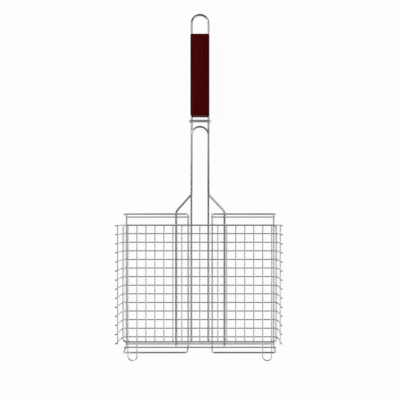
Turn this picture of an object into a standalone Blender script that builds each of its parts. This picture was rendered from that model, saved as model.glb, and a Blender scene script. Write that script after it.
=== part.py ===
"""A wire grill basket: a flanged mesh lid hinged on a base of two wire loops, with a wooden grip."""

import math

import bmesh
import bpy
from mathutils import Vector

# Sizes are in metres. Y runs from the hinge rod toward the handle, and Z up from the ground.

# Wire diameters
HANDLE_ROD = 0.004
LID_ROD = 0.0034
LOOP_WIRE = 0.003
CROSS_ROD = 0.0025
MESH_WIRE = 0.0022
RIM_WIRE = 0.003
RING_WIRE = 0.0028

# Clearances
WELD_GAP = 0.0003
GROOVE_GAP = 0.0003
RING_SIDE_GAP = 0.0012
RING_LIFT_GAP = 0.00035
RING_TOP_GAP = 0.0007

# Base loops and their end walls
LOOP_LENGTH = 0.2347
LOOP_WIDTH = 0.1096
LOOP_SPACING = 0.0428
WALL_HEIGHT = 0.029
WALL_LEAN = 0.0015
WALL_BEND = 0.004
RAIL_CORNER = 0.008
ROD_OVERHANG = 0.001
FOOD_GAP = 0.0095

# Handle rod and grip
LEG_SPACING = 0.0868
WAIST_SPACING = 0.0296
FLARE_SETBACK = 0.006
FLARE_LENGTH = 0.0298
FLARE_BEND = 0.010
GRIP_LENGTH = 0.1424
GRIP_WIDTH = 0.0328
GRIP_THICKNESS = 0.020
GRIP_ROUNDING = 0.0025
HANGING_LOOP_LENGTH = 0.038

# Lid mesh, flanges and tabs
CROSS_COUNT = 14
CROSS_PITCH = 0.01507
MESH_SETBACK = 0.0185
LONG_PITCH = 0.0157
FIRST_LONG = 2
LAST_LONG = 6
FOLD_HALF_WIDTH = 0.1356
FOLD_BEND = 0.005
FLANGE_HEIGHT = 0.042
FLANGE_SPLAY = 0.0026
EDGE_DROP = 0.0015
EDGE_OVERHANG = 0.002
RIM_FAR_MARGIN = 0.007
WIRE_OVERHANG = 0.0012
RIM_CORNER = 0.012
TAB_REACH = 0.0235
LID_HANDLE_REACH = 0.3878
LID_TO_GRIP = 0.0171
RING_CORNER = 0.003

# Facets
ARC_STEPS = 4
WIRE_RESOLUTION = 2
GROOVE_SIDES = 24
GRIP_ROUNDING_STEPS = 3
MERGE_DISTANCE = 1e-6

# Heights of the wire centres, stacked from the ground up
LEG_Z = HANDLE_ROD / 2
CROSSBAR_Z = LEG_Z + (HANDLE_ROD + CROSS_ROD) / 2 + WELD_GAP
LOOP_Z = CROSSBAR_Z + (CROSS_ROD + LOOP_WIRE) / 2 + WELD_GAP
RAIL_Z = LOOP_Z + WALL_HEIGHT
CROSS_Z = LOOP_Z + (LOOP_WIRE + MESH_WIRE) / 2 + FOOD_GAP
LONG_Z = CROSS_Z + MESH_WIRE + WELD_GAP
HINGE_Z = LONG_Z - (MESH_WIRE + CROSS_ROD) / 2 - WELD_GAP
LID_ROD_Z = CROSS_Z + (MESH_WIRE + LID_ROD) / 2 + WELD_GAP
RIM_Z = LID_ROD_Z + (LID_ROD + RIM_WIRE) / 2 + WELD_GAP
HANDLE_Z = LID_ROD_Z - (LID_ROD + HANDLE_ROD) / 2 - WELD_GAP

# Places across the basket
LOOP_INNER_X = LOOP_SPACING / 2
LOOP_OUTER_X = LOOP_INNER_X + LOOP_WIDTH
LEG_X = LEG_SPACING / 2
WAIST_X = WAIST_SPACING / 2
FAR_ROD_HALF = LOOP_OUTER_X + LOOP_WIRE / 2 + ROD_OVERHANG
CROSSBAR_INNER_X = LOOP_INNER_X - LOOP_WIRE / 2 - ROD_OVERHANG

# Places along the basket, from the hinge rod
WALL_AT_HINGE = -(CROSS_ROD + LOOP_WIRE) / 2 - WELD_GAP
FAR_WALL_Y = WALL_AT_HINGE + WALL_LEAN * (HINGE_Z - LOOP_Z) / WALL_HEIGHT
HANDLE_WALL_Y = FAR_WALL_Y + LOOP_LENGTH
FAR_ROD_Y = FAR_WALL_Y + WALL_BEND
CROSSBAR_Y = HANDLE_WALL_Y - WALL_BEND
LEG_END_Y = FAR_ROD_Y - HANDLE_ROD
FLARE_START_Y = HANDLE_WALL_Y + FLARE_SETBACK
FLARE_END_Y = FLARE_START_Y + FLARE_LENGTH
LAST_CROSS_Y = MESH_SETBACK + (CROSS_COUNT - 1) * CROSS_PITCH
RIM_FAR_Y = MESH_SETBACK - RIM_FAR_MARGIN
RIM_NEAR_Y = LAST_CROSS_Y
WIRE_END_Y = LAST_CROSS_Y + WIRE_OVERHANG
LID_LOOP_Y = LID_HANDLE_REACH - LID_ROD / 2
TAB_TIP_Y = -TAB_REACH + MESH_WIRE / 2
GRIP_START_Y = LID_HANDLE_REACH + LID_TO_GRIP
GRIP_END_Y = GRIP_START_Y + GRIP_LENGTH
HANGING_TOP_Y = GRIP_END_Y + HANGING_LOOP_LENGTH
RING_Y = LID_HANDLE_REACH + LID_TO_GRIP / 2

# The origin lies under the middle of the whole length
HINGE_FROM_ORIGIN = -(HANGING_TOP_Y - TAB_REACH) / 2

CHROME = (0.78, 0.79, 0.80, 1.0)
STAINED_WOOD = (0.14, 0.035, 0.022, 1.0)


def clear_scene():
    for obj in list(bpy.data.objects):
        bpy.data.objects.remove(obj, do_unlink=True)


def new_collection(name):
    collection = bpy.data.collections.new(name)
    bpy.context.scene.collection.children.link(collection)
    return collection


def new_material(name, colour, roughness, metallic):
    material = bpy.data.materials.new(name)
    material.use_nodes = True
    shader = material.node_tree.nodes["Principled BSDF"]
    shader.inputs["Base Color"].default_value = colour
    shader.inputs["Roughness"].default_value = roughness
    shader.inputs["Metallic"].default_value = metallic
    return material


def new_empty(name, collection, location, parent=None):
    empty = bpy.data.objects.new(name, None)
    empty.location = location
    empty.parent = parent
    collection.objects.link(empty)
    return empty


def corner_arc(before, corner, after, radius):
    """Points of the arc of this radius that rounds a corner of a path."""
    to_before = (before - corner).normalized()
    to_after = (after - corner).normalized()
    half_angle = to_before.angle(to_after) / 2
    centre = corner + (to_before + to_after).normalized() * (radius / math.sin(half_angle))
    reach = radius / math.tan(half_angle)
    first = (corner + to_before * reach - centre).normalized()
    last = (corner + to_after * reach - centre).normalized()
    return [centre + first.slerp(last, step / ARC_STEPS) * radius for step in range(ARC_STEPS + 1)]


def rounded_path(corners, closed=False):
    """A path through (x, y, z, radius) corners, with an arc at each corner that has a radius."""
    places = [Vector(corner[:3]) for corner in corners]
    path = []
    for index, corner in enumerate(corners):
        if corner[3] == 0:
            stretch = [places[index]]
        else:
            after = places[(index + 1) % len(places)]
            stretch = corner_arc(places[index - 1], places[index], after, corner[3])
        for point in stretch:
            if not path or (point - path[-1]).length > MERGE_DISTANCE:
                path.append(point)
    if closed and (path[0] - path[-1]).length < MERGE_DISTANCE:
        path.pop()
    return path


def new_wire(name, path, diameter, material, collection, parent, closed=False):
    """A round wire along a path that is given in its parent's coordinates."""
    curve = bpy.data.curves.new(name, "CURVE")
    curve.dimensions = "3D"
    curve.bevel_depth = diameter / 2
    curve.bevel_resolution = WIRE_RESOLUTION
    curve.use_fill_caps = True
    spline = curve.splines.new("POLY")
    spline.points.add(len(path) - 1)
    for point, place in zip(spline.points, path):
        point.co = (*place, 1.0)
    spline.use_cyclic_u = closed
    curve.materials.append(material)
    wire = bpy.data.objects.new(name, curve)
    wire.parent = parent
    collection.objects.link(wire)
    return wire


def make_handle_rod(material, collection, base):
    """One rod: a leg, the flare up to the grip, the hanging loop, and the same back again."""
    top = HANGING_TOP_Y - HANDLE_ROD / 2
    corners = [
        (-LEG_X, LEG_END_Y, LEG_Z, 0),
        (-LEG_X, FLARE_START_Y, LEG_Z, FLARE_BEND),
        (-WAIST_X, FLARE_END_Y, HANDLE_Z, FLARE_BEND),
        (-WAIST_X, top, HANDLE_Z, WAIST_X),
        (WAIST_X, top, HANDLE_Z, WAIST_X),
        (WAIST_X, FLARE_END_Y, HANDLE_Z, FLARE_BEND),
        (LEG_X, FLARE_START_Y, LEG_Z, FLARE_BEND),
        (LEG_X, LEG_END_Y, LEG_Z, 0),
    ]
    new_wire("handle_rod", rounded_path(corners), HANDLE_ROD, material, collection, base)


def make_loop(name, side, material, collection, base):
    """One closed loop, turned up at both ends into a wall with a rail on top."""
    inner = side * LOOP_INNER_X
    outer = side * LOOP_OUTER_X
    far_rail = FAR_WALL_Y - WALL_LEAN
    near_rail = HANDLE_WALL_Y + WALL_LEAN
    corners = [
        (inner, FAR_WALL_Y, LOOP_Z, WALL_BEND),
        (inner, far_rail, RAIL_Z, RAIL_CORNER),
        (outer, far_rail, RAIL_Z, RAIL_CORNER),
        (outer, FAR_WALL_Y, LOOP_Z, WALL_BEND),
        (outer, HANDLE_WALL_Y, LOOP_Z, WALL_BEND),
        (outer, near_rail, RAIL_Z, RAIL_CORNER),
        (inner, near_rail, RAIL_Z, RAIL_CORNER),
        (inner, HANDLE_WALL_Y, LOOP_Z, WALL_BEND),
    ]
    path = rounded_path(corners, closed=True)
    new_wire(name, path, LOOP_WIRE, material, collection, base, closed=True)


def make_base_rods(material, collection, base):
    """The straight rods that tie the loops to the legs, and the hinge rod on the far wall."""
    rods = {
        "left_crossbar": (-FAR_ROD_HALF, -CROSSBAR_INNER_X, CROSSBAR_Y, CROSSBAR_Z),
        "right_crossbar": (CROSSBAR_INNER_X, FAR_ROD_HALF, CROSSBAR_Y, CROSSBAR_Z),
        "far_lower_rod": (-FAR_ROD_HALF, FAR_ROD_HALF, FAR_ROD_Y, CROSSBAR_Z),
        "hinge_rod": (-FAR_ROD_HALF, FAR_ROD_HALF, 0, HINGE_Z),
    }
    for name, (start, end, y, z) in rods.items():
        path = [Vector((start, y, z)), Vector((end, y, z))]
        new_wire(name, path, CROSS_ROD, material, collection, base)


def make_groove_cutter(name, x, collection, base):
    """A long cylinder that cuts the groove in which a handle rod lies."""
    mesh = bpy.data.meshes.new(name)
    shape = bmesh.new()
    bmesh.ops.create_cone(
        shape,
        cap_ends=True,
        segments=GROOVE_SIDES,
        radius1=HANDLE_ROD / 2 + GROOVE_GAP,
        radius2=HANDLE_ROD / 2 + GROOVE_GAP,
        depth=GRIP_LENGTH * 2,
    )
    shape.to_mesh(mesh)
    shape.free()
    cutter = bpy.data.objects.new(name, mesh)
    cutter.location = (x, (GRIP_START_Y + GRIP_END_Y) / 2, HANDLE_Z)
    cutter.rotation_euler = (math.pi / 2, 0, 0)
    cutter.parent = base
    cutter.hide_render = True
    cutter.display_type = "WIRE"
    collection.objects.link(cutter)
    return cutter


def make_grip(material, collection, cutters, base):
    """A rounded wooden slab with a groove along each narrow edge for the handle rod."""
    mesh = bpy.data.meshes.new("grip")
    shape = bmesh.new()
    bmesh.ops.create_cube(shape, size=1)
    bmesh.ops.scale(shape, vec=(GRIP_WIDTH, GRIP_LENGTH, GRIP_THICKNESS), verts=shape.verts)
    shape.to_mesh(mesh)
    shape.free()
    mesh.materials.append(material)
    grip = bpy.data.objects.new("grip", mesh)
    grip.location = (0, (GRIP_START_Y + GRIP_END_Y) / 2, HANDLE_Z)
    grip.parent = base
    collection.objects.link(grip)
    rounding = grip.modifiers.new("rounding", "BEVEL")
    rounding.width = GRIP_ROUNDING
    rounding.segments = GRIP_ROUNDING_STEPS
    for side in (-1, 1):
        groove = grip.modifiers.new("groove", "BOOLEAN")
        groove.operation = "DIFFERENCE"
        groove.object = make_groove_cutter(f"groove_cutter_{side}", side * WAIST_X, cutters, base)


def make_cross_wires(material, collection, lid):
    """The wires across the mesh, each folded up at both ends into the side flanges."""
    floor = CROSS_Z - HINGE_Z
    top = floor + FLANGE_HEIGHT
    spread = FOLD_HALF_WIDTH + FLANGE_SPLAY
    for index in range(CROSS_COUNT):
        y = MESH_SETBACK + index * CROSS_PITCH
        corners = [
            (-spread, y, top, 0),
            (-FOLD_HALF_WIDTH, y, floor, FOLD_BEND),
            (FOLD_HALF_WIDTH, y, floor, FOLD_BEND),
            (spread, y, top, 0),
        ]
        name = f"cross_wire_{index + 1:02d}"
        new_wire(name, rounded_path(corners), MESH_WIRE, material, collection, lid)


def make_long_wires(material, collection, lid):
    """The straight wires along the mesh, which lie on the cross wires and end under the rim."""
    z = LONG_Z - HINGE_Z
    steps = [0]
    for step in range(FIRST_LONG, LAST_LONG + 1):
        steps += [-step, step]
    for index, step in enumerate(sorted(steps)):
        x = step * LONG_PITCH
        path = [Vector((x, RIM_FAR_Y, z)), Vector((x, WIRE_END_Y, z))]
        new_wire(f"long_wire_{index + 1:02d}", path, MESH_WIRE, material, collection, lid)


def make_tab_wire(name, side, material, collection, lid):
    """A hairpin: two wires of the mesh that run on over the hinge rod and join beyond the wall."""
    z = LONG_Z - HINGE_Z
    inner = side * (LAST_LONG + 1) * LONG_PITCH
    outer = side * (LAST_LONG + 2) * LONG_PITCH
    corners = [
        (inner, WIRE_END_Y, z, 0),
        (inner, TAB_TIP_Y, z, LONG_PITCH / 2),
        (outer, TAB_TIP_Y, z, LONG_PITCH / 2),
        (outer, WIRE_END_Y, z, 0),
    ]
    new_wire(name, rounded_path(corners), MESH_WIRE, material, collection, lid)


def make_lid_handle(material, collection, lid):
    """The long U of rod that runs the length of the mesh and out over the handle rod."""
    z = LID_ROD_Z - HINGE_Z
    corners = [
        (-WAIST_X, RIM_FAR_Y, z, 0),
        (-WAIST_X, LID_LOOP_Y, z, WAIST_X),
        (WAIST_X, LID_LOOP_Y, z, WAIST_X),
        (WAIST_X, RIM_FAR_Y, z, 0),
    ]
    new_wire("lid_handle", rounded_path(corners), LID_ROD, material, collection, lid)


def flange_x(height):
    """Where the middle of a flange wire stands at this height above the cross wires."""
    return FOLD_HALF_WIDTH + FLANGE_SPLAY * height / FLANGE_HEIGHT


def make_rim(material, collection, lid):
    """The frame round the mesh: on the lid handle at its ends, against the flanges at its sides."""
    z = RIM_Z - HINGE_Z
    half = flange_x(RIM_Z - CROSS_Z - RIM_WIRE / 2) - (MESH_WIRE + RIM_WIRE) / 2 - WELD_GAP
    corners = [
        (-half, RIM_FAR_Y, z, RIM_CORNER),
        (half, RIM_FAR_Y, z, RIM_CORNER),
        (half, RIM_NEAR_Y, z, RIM_CORNER),
        (-half, RIM_NEAR_Y, z, RIM_CORNER),
    ]
    path = rounded_path(corners, closed=True)
    new_wire("rim", path, RIM_WIRE, material, collection, lid, closed=True)


def make_edge_wire(name, side, material, collection, lid):
    """The straight wire that ties the tops of one flange together, on its inner side."""
    height = FLANGE_HEIGHT - EDGE_DROP - MESH_WIRE / 2
    x = side * (flange_x(height - MESH_WIRE / 2) - MESH_WIRE - WELD_GAP)
    z = CROSS_Z + height - HINGE_Z
    start = Vector((x, MESH_SETBACK - EDGE_OVERHANG, z))
    end = Vector((x, LAST_CROSS_Y + EDGE_OVERHANG, z))
    new_wire(name, [start, end], MESH_WIRE, material, collection, lid)


def make_lock_ring(material, collection, slider):
    """The flat closed ring round the handle rod, which slides on over the lid handle."""
    bottom = HANDLE_Z - HANDLE_ROD / 2 - RING_LIFT_GAP - RING_WIRE / 2
    top = LID_ROD_Z + LID_ROD / 2 + RING_TOP_GAP + RING_WIRE / 2
    half_width = WAIST_X + HANDLE_ROD / 2 + RING_SIDE_GAP + RING_WIRE / 2
    corners = [
        (-half_width, 0, bottom - HANDLE_Z, RING_CORNER),
        (half_width, 0, bottom - HANDLE_Z, RING_CORNER),
        (half_width, 0, top - HANDLE_Z, RING_CORNER),
        (-half_width, 0, top - HANDLE_Z, RING_CORNER),
    ]
    path = rounded_path(corners, closed=True)
    new_wire("lock_ring", path, RING_WIRE, material, collection, slider, closed=True)


def main():
    clear_scene()
    parts = new_collection("grill_basket")
    cutters = new_collection("cutters")
    rod_chrome = new_material("rod_chrome", CHROME, 0.14, 1.0)
    mesh_chrome = new_material("mesh_chrome", CHROME, 0.2, 1.0)
    ring_chrome = new_material("ring_chrome", CHROME, 0.1, 1.0)
    wood = new_material("stained_wood", STAINED_WOOD, 0.4, 0.0)

    base = new_empty("base", parts, (0, HINGE_FROM_ORIGIN, 0))
    lid = new_empty("lid_pivot", parts, (0, 0, HINGE_Z), base)
    slider = new_empty("ring_slider", parts, (0, RING_Y, HANDLE_Z), base)

    make_handle_rod(rod_chrome, parts, base)
    make_loop("left_frame", -1, rod_chrome, parts, base)
    make_loop("right_frame", 1, rod_chrome, parts, base)
    make_base_rods(rod_chrome, parts, base)
    make_grip(wood, parts, cutters, base)

    make_cross_wires(mesh_chrome, parts, lid)
    make_long_wires(mesh_chrome, parts, lid)
    make_tab_wire("left_tab_wire", -1, mesh_chrome, parts, lid)
    make_tab_wire("right_tab_wire", 1, mesh_chrome, parts, lid)
    make_lid_handle(rod_chrome, parts, lid)
    make_rim(rod_chrome, parts, lid)
    make_edge_wire("left_edge_wire", -1, mesh_chrome, parts, lid)
    make_edge_wire("right_edge_wire", 1, mesh_chrome, parts, lid)

    make_lock_ring(ring_chrome, parts, slider)


main()
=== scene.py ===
"""Looks of the wire grill basket: round plated wires, spot welds, a wooden grip and studio light."""

import math

import bmesh
import bpy
from mathutils import Matrix, Vector


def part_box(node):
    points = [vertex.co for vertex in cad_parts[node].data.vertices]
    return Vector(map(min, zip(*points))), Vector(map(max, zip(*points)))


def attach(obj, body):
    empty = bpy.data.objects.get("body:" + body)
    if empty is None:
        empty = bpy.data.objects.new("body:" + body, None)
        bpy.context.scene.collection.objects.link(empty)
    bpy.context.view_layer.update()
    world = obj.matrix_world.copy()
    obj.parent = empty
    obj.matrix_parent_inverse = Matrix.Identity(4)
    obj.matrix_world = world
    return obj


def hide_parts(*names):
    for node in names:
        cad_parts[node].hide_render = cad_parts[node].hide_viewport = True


# Bends of the wires, in metres
WALL_LEAN = 0.0015
WALL_BEND = 0.004
RAIL_CORNER = 0.0035
WAIST_X = 0.0148
FLARE_SETBACK = 0.006
FLARE_LENGTH = 0.0298
FLARE_BEND = 0.010
FLANGE_SPLAY = 0.0026
FOLD_BEND = 0.005
RIM_CORNER = 0.005
RING_CORNER = 0.003

# Diameters of the wires, in metres
HANDLE_ROD = 0.004
LID_ROD = 0.0034
LOOP_WIRE = 0.003
RIM_WIRE = 0.003
RING_WIRE = 0.0028
MESH_WIRE = 0.0022

# Grip and welds, in metres
GRIP_ROUNDING = 0.0025
GROOVE_GAP = 0.0003
WELD_RADIUS = 0.0012
WELD_HALF_HEIGHT = 0.0008

# Fineness of the meshes
ARC_STEPS = 12
WIRE_RESOLUTION = 6
GROOVE_SIDES = 48
ROUNDING_STEPS = 6
ROUND_PROFILE = 0.5
WELD_SUBDIVISIONS = 1
MERGE_DISTANCE = 1e-6
SHARP_ANGLE = math.radians(35)

# Platings: tone, and roughness where it is smoothest and roughest
ROD_PLATING = (0.4, 0.08, 0.2)
LOOP_PLATING = (0.6, 0.1, 0.24)
MESH_PLATING = (0.66, 0.12, 0.28)
RING_PLATING = (0.78, 0.08, 0.18)
WELD_PLATING = (0.5, 0.2, 0.4)
FAINT_BLUE = 1.015
ROD_BLUE = 1.07
CLOUD_SCALE = 60
CLOUD_DETAIL = 3
CLOUD_RANGE = (0.3, 0.7)
CLOUD_SHADE = 0.86
WEAR_SCALE = 700
WEAR_DETAIL = 4
WEAR_RANGE = (0.35, 0.75)
WEAR_BUMP = 0.08
WEAR_DEPTH = 0.0002

# Stained wood: the grain and the pores are fine across the grip and long along it
GRAIN_STRETCH = (900, 16, 900)
GRAIN_DETAIL = 6
GRAIN_STOPS = (0.3, 0.5, 0.7)
DARK_STAIN = (0.034, 0.0003, 0.0005)
MIDDLE_STAIN = (0.070, 0.0006, 0.0010)
LIGHT_STAIN = (0.112, 0.0024, 0.0030)
PORE_STRETCH = (1500, 40, 1500)
PORE_DETAIL = 3
PORE_RANGE = (0.3, 0.42)
PORE_SHADE = (0.6, 0.55, 0.55)
PORE_BUMP = 0.25
PORE_DEPTH = 0.0003
NO_SHADE = (1, 1, 1)
# Painted shade darkens the wood toward its long rounded edges, from this share of the half width
# outward
PAINTED_SHADE_START = 0.7
PAINTED_EDGE_SHADE = (0.55, 0.5, 0.5, 1)
VARNISH_RANGE = (0.3, 0.7)
VARNISH_ROUGHNESS = (0.42, 0.58)
VARNISH_SPECULAR = 0.03

# Camera: straight above the basket, with the picture's middle set off from the point below it
CAMERA_PLACE = (0.032, -0.045, 0.803)
CAMERA_SHIFT = (-0.0455, 0.032)
FIELD_OF_VIEW = math.radians(48.3)

# Studio: the sky darkens between two heights, given as the sine of the angle above the horizon
FLOOR_SIDE = 8.0
FLOOR_COLOUR = (0.9, 0.9, 0.9, 1)
FLOOR_ROUGHNESS = 0.9
FLOOR_WHITE = 0.95
ZENITH_GREY = 0.05
HORIZON_GREY = 0.85
SKY_RANGE = (0.45, 0.7)
WORLD_STRENGTH = 1.0

# Lamps: place and side in metres, power in watts
KEY_LAMP = ((-1.1, 0.7, 1.5), 1.0, 16)
FILL_LAMP = ((1.2, -0.6, 1.4), 1.2, 10)

# Nodes of the frame that are built alike
CROSS_WIRES = [f"cross_wire_{number:02d}" for number in range(1, 15)]
LONG_WIRES = [f"long_wire_{number:02d}" for number in range(1, 12)]
TAB_WIRES = ["left_tab_wire", "right_tab_wire"]
EDGE_WIRES = ["left_edge_wire", "right_edge_wire"]
LOOPS = ["left_frame", "right_frame"]
BASE_RODS = ["left_crossbar", "right_crossbar", "far_lower_rod", "hinge_rod"]


def corner_arc(before, corner, after, radius):
    """Points of the arc of this radius that rounds a corner of a path."""
    to_before = (before - corner).normalized()
    to_after = (after - corner).normalized()
    half_angle = to_before.angle(to_after) / 2
    centre = corner + (to_before + to_after).normalized() * (radius / math.sin(half_angle))
    reach = radius / math.tan(half_angle)
    first = (corner + to_before * reach - centre).normalized()
    last = (corner + to_after * reach - centre).normalized()
    return [centre + first.slerp(last, step / ARC_STEPS) * radius for step in range(ARC_STEPS + 1)]


def rounded_path(corners, closed):
    """A path through (x, y, z, radius) corners, with an arc at each corner that has a radius."""
    places = [Vector(corner[:3]) for corner in corners]
    path = []
    for index, corner in enumerate(corners):
        if corner[3] == 0:
            stretch = [places[index]]
        else:
            after = places[(index + 1) % len(places)]
            stretch = corner_arc(places[index - 1], places[index], after, corner[3])
        for point in stretch:
            if not path or (point - path[-1]).length > MERGE_DISTANCE:
                path.append(point)
    if closed and (path[0] - path[-1]).length < MERGE_DISTANCE:
        path.pop()
    return path


def as_mesh(curve_object):
    """The curve's surface as a mesh object of the same name, with its caps welded on."""
    graph = bpy.context.evaluated_depsgraph_get()
    mesh = bpy.data.meshes.new_from_object(curve_object.evaluated_get(graph))
    shape = bmesh.new()
    shape.from_mesh(mesh)
    bmesh.ops.remove_doubles(shape, verts=shape.verts, dist=MERGE_DISTANCE)
    shape.to_mesh(mesh)
    shape.free()
    name = curve_object.name
    bpy.data.objects.remove(curve_object)
    return finished_object(name, mesh)


def finished_object(name, mesh):
    """An object in the scene with this mesh, smooth but for its sharp edges."""
    mesh.shade_smooth()
    mesh.set_sharp_from_angle(angle=SHARP_ANGLE)
    piece = bpy.data.objects.new(name, mesh)
    bpy.context.scene.collection.objects.link(piece)
    return piece


def add_wire(node, body, material, corners, diameter, closed=False):
    """A round wire that stands for one node of the frame."""
    path = rounded_path(corners, closed)
    curve = bpy.data.curves.new(f"{node}_round", "CURVE")
    curve.dimensions = "3D"
    curve.bevel_depth = diameter / 2
    curve.bevel_resolution = WIRE_RESOLUTION
    curve.use_fill_caps = True
    spline = curve.splines.new("POLY")
    spline.points.add(len(path) - 1)
    for point, place in zip(spline.points, path):
        point.co = (*place, 1.0)
    spline.use_cyclic_u = closed
    guide = bpy.data.objects.new(f"{node}_round", curve)
    bpy.context.scene.collection.objects.link(guide)
    piece = as_mesh(guide)
    piece.data.materials.append(material)
    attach(piece, body)
    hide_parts(node)


def add_straight_wire(node, body, material):
    """A straight wire along the longest side of its node's box."""
    low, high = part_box(node)
    size = high - low
    along = max(range(3), key=lambda axis: size[axis])
    start = (low + high) / 2
    end = start.copy()
    start[along] = low[along]
    end[along] = high[along]
    add_wire(node, body, material, [(*start, 0), (*end, 0)], min(size))


def add_handle_rod(material):
    """The long rod: a leg, the flare up to the handle, the hanging loop, and back to the other leg."""
    low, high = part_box("handle_rod")
    radius = HANDLE_ROD / 2
    leg_x = high.x - radius
    leg_z = low.z + radius
    handle_z = high.z - radius
    top = high.y - radius
    flare_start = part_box("right_frame")[1].y - LOOP_WIRE / 2 - WALL_LEAN + FLARE_SETBACK
    flare_end = flare_start + FLARE_LENGTH
    corners = [
        (-leg_x, low.y, leg_z, 0),
        (-leg_x, flare_start, leg_z, FLARE_BEND),
        (-WAIST_X, flare_end, handle_z, FLARE_BEND),
        (-WAIST_X, top, handle_z, WAIST_X),
        (WAIST_X, top, handle_z, WAIST_X),
        (WAIST_X, flare_end, handle_z, FLARE_BEND),
        (leg_x, flare_start, leg_z, FLARE_BEND),
        (leg_x, low.y, leg_z, 0),
    ]
    add_wire("handle_rod", "base", material, corners, HANDLE_ROD)


def add_loop(node, material):
    """A closed loop of the base, turned up at both ends into walls that lean a little outward."""
    low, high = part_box(node)
    radius = LOOP_WIRE / 2
    left = low.x + radius
    right = high.x - radius
    far_rail = low.y + radius
    near_rail = high.y - radius
    floor = low.z + radius
    rail = high.z - radius
    corners = [
        (left, far_rail + WALL_LEAN, floor, WALL_BEND),
        (left, far_rail, rail, RAIL_CORNER),
        (right, far_rail, rail, RAIL_CORNER),
        (right, far_rail + WALL_LEAN, floor, WALL_BEND),
        (right, near_rail - WALL_LEAN, floor, WALL_BEND),
        (right, near_rail, rail, RAIL_CORNER),
        (left, near_rail, rail, RAIL_CORNER),
        (left, near_rail - WALL_LEAN, floor, WALL_BEND),
    ]
    add_wire(node, "base", material, corners, LOOP_WIRE, closed=True)


def add_cross_wire(node, material):
    """A wire across the lid, folded up at both ends."""
    low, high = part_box(node)
    y = (low.y + high.y) / 2
    radius = MESH_WIRE / 2
    spread = high.x - radius
    fold = spread - FLANGE_SPLAY
    floor = low.z + radius
    corners = [
        (-spread, y, high.z, 0),
        (-fold, y, floor, FOLD_BEND),
        (fold, y, floor, FOLD_BEND),
        (spread, y, high.z, 0),
    ]
    add_wire(node, "lid", material, corners, MESH_WIRE)


def add_tab_wire(node, material):
    """A hairpin along the lid, with its round tip at the hinge rod."""
    low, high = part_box(node)
    radius = MESH_WIRE / 2
    left = low.x + radius
    right = high.x - radius
    tip = low.y + radius
    z = (low.z + high.z) / 2
    turn = (right - left) / 2
    corners = [
        (left, high.y, z, 0),
        (left, tip, z, turn),
        (right, tip, z, turn),
        (right, high.y, z, 0),
    ]
    add_wire(node, "lid", material, corners, MESH_WIRE)


def add_lid_handle(material):
    """The long U of rod along the lid and out over the handle."""
    low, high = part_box("lid_handle")
    z = (low.z + high.z) / 2
    top = high.y - LID_ROD / 2
    corners = [
        (-WAIST_X, low.y, z, 0),
        (-WAIST_X, top, z, WAIST_X),
        (WAIST_X, top, z, WAIST_X),
        (WAIST_X, low.y, z, 0),
    ]
    add_wire("lid_handle", "lid", material, corners, LID_ROD)


def add_rim(material):
    """The closed frame round the lid's mesh."""
    low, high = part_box("rim")
    radius = RIM_WIRE / 2
    half = high.x - radius
    far = low.y + radius
    near = high.y - radius
    z = (low.z + high.z) / 2
    corners = [
        (-half, far, z, RIM_CORNER),
        (half, far, z, RIM_CORNER),
        (half, near, z, RIM_CORNER),
        (-half, near, z, RIM_CORNER),
    ]
    add_wire("rim", "lid", material, corners, RIM_WIRE, closed=True)


def add_lock_ring(material):
    """The closed ring that slides along the handle."""
    low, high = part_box("lock_ring")
    radius = RING_WIRE / 2
    half = high.x - radius
    y = (low.y + high.y) / 2
    bottom = low.z + radius
    top = high.z - radius
    corners = [
        (-half, y, bottom, RING_CORNER),
        (half, y, bottom, RING_CORNER),
        (half, y, top, RING_CORNER),
        (-half, y, top, RING_CORNER),
    ]
    add_wire("lock_ring", "ring", material, corners, RING_WIRE, closed=True)


def add_grip(material):
    """The wooden slab, with softly rounded edges and a groove along each narrow edge."""
    low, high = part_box("grip")
    shape = bmesh.new()
    bmesh.ops.create_cube(shape, size=1)
    bmesh.ops.scale(shape, vec=high - low, verts=shape.verts)
    bmesh.ops.translate(shape, vec=(low + high) / 2, verts=shape.verts)
    bmesh.ops.bevel(
        shape,
        geom=shape.edges[:],
        offset=GRIP_ROUNDING,
        segments=ROUNDING_STEPS,
        profile=ROUND_PROFILE,
        affect="EDGES",
    )
    mesh = bpy.data.meshes.new("grip_body")
    shape.to_mesh(mesh)
    shape.free()
    body = bpy.data.objects.new("grip_body", mesh)
    bpy.context.scene.collection.objects.link(body)
    cutters = [groove_cutter(low, high, side) for side in (-1, 1)]
    for cutter in cutters:
        groove = body.modifiers.new("groove", "BOOLEAN")
        groove.operation = "DIFFERENCE"
        groove.object = cutter
    graph = bpy.context.evaluated_depsgraph_get()
    grooved = bpy.data.meshes.new_from_object(body.evaluated_get(graph))
    for helper in (body, *cutters):
        bpy.data.objects.remove(helper)
    grip = finished_object("grip_wood", grooved)
    grooved.materials.append(material)
    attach(grip, "base")
    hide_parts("grip")


def groove_cutter(low, high, side):
    """A cylinder along the handle rod, a little wider than the rod."""
    radius = HANDLE_ROD / 2 + GROOVE_GAP
    middle = (low + high) / 2
    place = Matrix.Translation((side * WAIST_X, middle.y, middle.z))
    along_handle = Matrix.Rotation(math.pi / 2, 4, "X")
    shape = bmesh.new()
    bmesh.ops.create_cone(
        shape,
        cap_ends=True,
        segments=GROOVE_SIDES,
        radius1=radius,
        radius2=radius,
        depth=2 * (high.y - low.y),
        matrix=place @ along_handle,
    )
    mesh = bpy.data.meshes.new("groove_cutter")
    shape.to_mesh(mesh)
    shape.free()
    cutter = bpy.data.objects.new("groove_cutter", mesh)
    bpy.context.scene.collection.objects.link(cutter)
    return cutter


def leg_places(node):
    """The x of each lengthwise stretch of a wire that runs along Y."""
    low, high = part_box(node)
    if node in LONG_WIRES:
        return [(low.x + high.x) / 2]
    radius = LID_ROD / 2 if node == "lid_handle" else MESH_WIRE / 2
    return [low.x + radius, high.x - radius]


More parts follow.
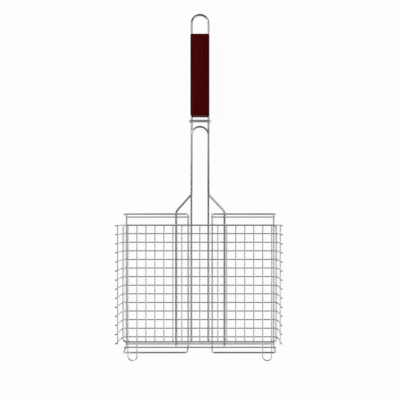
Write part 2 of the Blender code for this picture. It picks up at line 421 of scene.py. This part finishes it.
def lid_weld_places():
    """Where the wires of the lid are welded to each other."""
    places = []
    rim_low, rim_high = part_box("rim")
    for cross in CROSS_WIRES:
        low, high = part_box(cross)
        y = (low.y + high.y) / 2
        for node in LONG_WIRES + TAB_WIRES + ["lid_handle"]:
            z = (low.z + MESH_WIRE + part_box(node)[0].z) / 2
            places += [(x, y, z) for x in leg_places(node)]
        for edge in EDGE_WIRES:
            edge_low, edge_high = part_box(edge)
            side = math.copysign(1, edge_low.x)
            outside = max(abs(edge_low.x), abs(edge_high.x))
            places.append((side * outside, y, (edge_low.z + edge_high.z) / 2))
            places.append((side * rim_high.x, y, (rim_low.z + rim_high.z) / 2))
    rod_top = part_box("lid_handle")[1].z
    for y in (rim_low.y + RIM_WIRE / 2, rim_high.y - RIM_WIRE / 2):
        places += [(x, y, (rod_top + rim_low.z) / 2) for x in (-WAIST_X, WAIST_X)]
    return places


def base_weld_places():
    """Where the rods of the base are welded to its loops and legs. The legs lie on the ground."""
    places = []
    leg_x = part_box("handle_rod")[1].x - HANDLE_ROD / 2
    hinge_low, hinge_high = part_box("hinge_rod")
    for loop in LOOPS:
        low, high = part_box(loop)
        side = math.copysign(1, low.x)
        uprights = (low.x + LOOP_WIRE / 2, high.x - LOOP_WIRE / 2)
        crossbar = "left_crossbar" if side < 0 else "right_crossbar"
        for rod in (crossbar, "far_lower_rod"):
            rod_low, rod_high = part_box(rod)
            y = (rod_low.y + rod_high.y) / 2
            places.append((side * leg_x, y, (HANDLE_ROD + rod_low.z) / 2))
            places += [(x, y, (rod_high.z + low.z) / 2) for x in uprights]
        places += [(x, hinge_low.y, (hinge_low.z + hinge_high.z) / 2) for x in uprights]
    return places


def add_welds(name, body, places, material):
    """Small flattened beads of fused metal, one at each place."""
    shape = bmesh.new()
    flattened = Matrix.Diagonal((WELD_RADIUS, WELD_RADIUS, WELD_HALF_HEIGHT, 1))
    for place in places:
        bmesh.ops.create_icosphere(
            shape,
            subdivisions=WELD_SUBDIVISIONS,
            radius=1,
            matrix=Matrix.Translation(place) @ flattened,
        )
    mesh = bpy.data.meshes.new(name)
    shape.to_mesh(mesh)
    shape.free()
    mesh.materials.append(material)
    welds = finished_object(name, mesh)
    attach(welds, body)


def new_material(name):
    """A new material, with its node tree and its shader."""
    material = bpy.data.materials.new(name)
    material.use_nodes = True
    tree = material.node_tree
    return material, tree, tree.nodes["Principled BSDF"]


def add_noise(tree, scale, detail, stretch=(1, 1, 1)):
    """A noise over the object's own coordinates, stretched along its axes."""
    coordinates = tree.nodes.new("ShaderNodeTexCoord")
    mapping = tree.nodes.new("ShaderNodeMapping")
    mapping.inputs["Scale"].default_value = stretch
    noise = tree.nodes.new("ShaderNodeTexNoise")
    noise.inputs["Scale"].default_value = scale
    noise.inputs["Detail"].default_value = detail
    tree.links.new(coordinates.outputs["Object"], mapping.inputs["Vector"])
    tree.links.new(mapping.outputs["Vector"], noise.inputs["Vector"])
    return noise.outputs["Fac"]


def add_ramp(tree, value, positions, colours):
    """A ramp through these colours at these positions."""
    ramp = tree.nodes.new("ShaderNodeValToRGB")
    elements = ramp.color_ramp.elements
    for position in positions[1:-1]:
        elements.new(position)
    for element, position, colour in zip(elements, positions, colours):
        element.position = position
        element.color = (*colour, 1)
    tree.links.new(value, ramp.inputs["Fac"])
    return ramp.outputs["Color"]


def add_bump(tree, shader, height, strength, distance):
    """A fine relief on the shader's surface."""
    bump = tree.nodes.new("ShaderNodeBump")
    bump.inputs["Strength"].default_value = strength
    bump.inputs["Distance"].default_value = distance
    tree.links.new(height, bump.inputs["Height"])
    tree.links.new(bump.outputs["Normal"], shader.inputs["Normal"])


def grey(level, blue=FAINT_BLUE):
    """A grey of this level, with its blue raised a little."""
    return (level, level, level * blue)


def chrome(name, tone, smoothest, roughest, blue=FAINT_BLUE):
    """Bright plating with a faint cloudiness and fine wear."""
    material, tree, shader = new_material(name)
    shader.inputs["Metallic"].default_value = 1
    cloud = add_noise(tree, CLOUD_SCALE, CLOUD_DETAIL)
    tint = add_ramp(tree, cloud, CLOUD_RANGE, (grey(tone * CLOUD_SHADE, blue), grey(tone, blue)))
    tree.links.new(tint, shader.inputs["Base Color"])
    fine = add_noise(tree, WEAR_SCALE, WEAR_DETAIL)
    wear = add_ramp(tree, fine, WEAR_RANGE, (grey(smoothest), grey(roughest)))
    tree.links.new(wear, shader.inputs["Roughness"])
    add_bump(tree, shader, fine, WEAR_BUMP, WEAR_DEPTH)
    return material


def add_shade(tree, colour):
    """A node that multiplies this colour by the one at its second input."""
    shade = tree.nodes.new("ShaderNodeMix")
    shade.data_type = "RGBA"
    shade.blend_type = "MULTIPLY"
    tree.links.new(colour, shade.inputs["A"])
    return shade


def stained_wood():
    """Dark red stain over lengthwise grain with fine pores, with painted shade that darkens it toward
    the long edges.
    """
    material, tree, shader = new_material("stained_wood_grain")
    grain = add_noise(tree, scale=1, detail=GRAIN_DETAIL, stretch=GRAIN_STRETCH)
    stain = add_ramp(tree, grain, GRAIN_STOPS, (DARK_STAIN, MIDDLE_STAIN, LIGHT_STAIN))
    pores = add_noise(tree, scale=1, detail=PORE_DETAIL, stretch=PORE_STRETCH)
    pore_shade = add_ramp(tree, pores, PORE_RANGE, (PORE_SHADE, NO_SHADE))
    pored = add_shade(tree, stain)
    pored.inputs["Factor"].default_value = 1
    tree.links.new(pore_shade, pored.inputs["B"])
    # Painted shade: the colour is darkened toward the grip's long edges
    painted_edge_shaded = add_shade(tree, pored.outputs["Result"])
    tree.links.new(painted_edge_shade_mask(tree), painted_edge_shaded.inputs["Factor"])
    painted_edge_shaded.inputs["B"].default_value = PAINTED_EDGE_SHADE
    tree.links.new(painted_edge_shaded.outputs["Result"], shader.inputs["Base Color"])
    sheen = add_ramp(tree, grain, VARNISH_RANGE, [grey(level) for level in VARNISH_ROUGHNESS])
    tree.links.new(sheen, shader.inputs["Roughness"])
    shader.inputs["Specular IOR Level"].default_value = VARNISH_SPECULAR
    add_bump(tree, shader, pores, PORE_BUMP, PORE_DEPTH)
    return material


def painted_edge_shade_mask(tree):
    """Mask of the painted edge shade: 0 over the middle of the grip and 1 at its long edges, from the
    distance to the middle plane.
    """
    half_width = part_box("grip")[1].x
    coordinates = tree.nodes.new("ShaderNodeTexCoord")
    parts = tree.nodes.new("ShaderNodeSeparateXYZ")
    distance = tree.nodes.new("ShaderNodeMath")
    distance.operation = "ABSOLUTE"
    spread = tree.nodes.new("ShaderNodeMapRange")
    spread.inputs["From Min"].default_value = half_width * PAINTED_SHADE_START
    spread.inputs["From Max"].default_value = half_width
    tree.links.new(coordinates.outputs["Object"], parts.inputs["Vector"])
    tree.links.new(parts.outputs["X"], distance.inputs[0])
    tree.links.new(distance.outputs["Value"], spread.inputs["Value"])
    return spread.outputs["Result"]


def seen_directly(tree):
    """1 for rays that come straight from the camera or by way of a mirror or glass."""
    path = tree.nodes.new("ShaderNodeLightPath")
    total = path.outputs["Is Camera Ray"]
    for name in ("Is Glossy Ray", "Is Transmission Ray"):
        larger = tree.nodes.new("ShaderNodeMath")
        larger.operation = "MAXIMUM"
        tree.links.new(total, larger.inputs[0])
        tree.links.new(path.outputs[name], larger.inputs[1])
        total = larger.outputs["Value"]
    return total


def add_floor():
    """A plain white floor that keeps a faint shadow."""
    shape = bmesh.new()
    bmesh.ops.create_grid(shape, x_segments=1, y_segments=1, size=FLOOR_SIDE / 2)
    mesh = bpy.data.meshes.new("floor")
    shape.to_mesh(mesh)
    shape.free()
    material, tree, shader = new_material("floor_white")
    shader.inputs["Base Color"].default_value = FLOOR_COLOUR
    shader.inputs["Roughness"].default_value = FLOOR_ROUGHNESS
    glow = tree.nodes.new("ShaderNodeEmission")
    share = tree.nodes.new("ShaderNodeMath")
    share.operation = "MULTIPLY"
    share.inputs[1].default_value = FLOOR_WHITE
    mix = tree.nodes.new("ShaderNodeMixShader")
    tree.links.new(seen_directly(tree), share.inputs[0])
    tree.links.new(share.outputs["Value"], mix.inputs["Fac"])
    tree.links.new(shader.outputs["BSDF"], mix.inputs[1])
    tree.links.new(glow.outputs["Emission"], mix.inputs[2])
    tree.links.new(mix.outputs["Shader"], tree.nodes["Material Output"].inputs["Surface"])
    mesh.materials.append(material)
    floor = bpy.data.objects.new("floor", mesh)
    bpy.context.scene.collection.objects.link(floor)


def add_world():
    """A studio that is bright near the horizon and dark overhead."""
    world = bpy.data.worlds.new("studio")
    bpy.context.scene.world = world
    world.use_nodes = True
    tree = world.node_tree
    background = tree.nodes["Background"]
    coordinates = tree.nodes.new("ShaderNodeTexCoord")
    parts = tree.nodes.new("ShaderNodeSeparateXYZ")
    tree.links.new(coordinates.outputs["Generated"], parts.inputs["Vector"])
    sky = add_ramp(tree, parts.outputs["Z"], SKY_RANGE, (grey(HORIZON_GREY), grey(ZENITH_GREY)))
    tree.links.new(sky, background.inputs["Color"])
    background.inputs["Strength"].default_value = WORLD_STRENGTH


def add_lamp(name, place, side, power):
    """A square soft lamp that faces the basket."""
    lamp = bpy.data.lights.new(name, "AREA")
    lamp.size = side
    lamp.energy = power
    holder = bpy.data.objects.new(name, lamp)
    holder.location = place
    holder.rotation_euler = (-Vector(place)).to_track_quat("-Z", "Y").to_euler()
    bpy.context.scene.collection.objects.link(holder)


def add_camera():
    """A camera that looks straight down, with the handle toward the top of the picture."""
    camera = bpy.data.cameras.new("camera")
    camera.sensor_fit = "HORIZONTAL"
    camera.angle = FIELD_OF_VIEW
    camera.shift_x, camera.shift_y = CAMERA_SHIFT
    holder = bpy.data.objects.new("camera", camera)
    holder.location = CAMERA_PLACE
    bpy.context.scene.collection.objects.link(holder)
    bpy.context.scene.camera = holder


def add_basket():
    """Every piece of the basket, with its material."""
    rod_chrome = chrome("rod_plating", *ROD_PLATING, blue=ROD_BLUE)
    loop_chrome = chrome("loop_plating", *LOOP_PLATING)
    mesh_chrome = chrome("mesh_plating", *MESH_PLATING)
    ring_chrome = chrome("ring_plating", *RING_PLATING)
    weld_metal = chrome("weld_metal", *WELD_PLATING)
    add_handle_rod(rod_chrome)
    for node in LOOPS:
        add_loop(node, loop_chrome)
    for node in BASE_RODS:
        add_straight_wire(node, "base", loop_chrome)
    add_grip(stained_wood())
    for node in CROSS_WIRES:
        add_cross_wire(node, mesh_chrome)
    for node in LONG_WIRES + EDGE_WIRES:
        add_straight_wire(node, "lid", mesh_chrome)
    for node in TAB_WIRES:
        add_tab_wire(node, mesh_chrome)
    add_lid_handle(rod_chrome)
    add_rim(mesh_chrome)
    add_lock_ring(ring_chrome)
    add_welds("lid_welds", "lid", lid_weld_places(), weld_metal)
    add_welds("base_welds", "base", base_weld_places(), weld_metal)


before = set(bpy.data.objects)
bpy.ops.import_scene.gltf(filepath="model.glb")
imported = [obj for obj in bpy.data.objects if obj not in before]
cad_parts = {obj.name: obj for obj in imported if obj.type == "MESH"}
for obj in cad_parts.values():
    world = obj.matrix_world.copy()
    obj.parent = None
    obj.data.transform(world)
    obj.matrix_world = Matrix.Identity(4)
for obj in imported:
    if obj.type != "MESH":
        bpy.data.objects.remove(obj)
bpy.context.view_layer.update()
bpy.context.scene.view_settings.view_transform = "Standard"
add_basket()
add_floor()
add_world()
add_lamp("key", *KEY_LAMP)
add_lamp("fill", *FILL_LAMP)
add_camera()
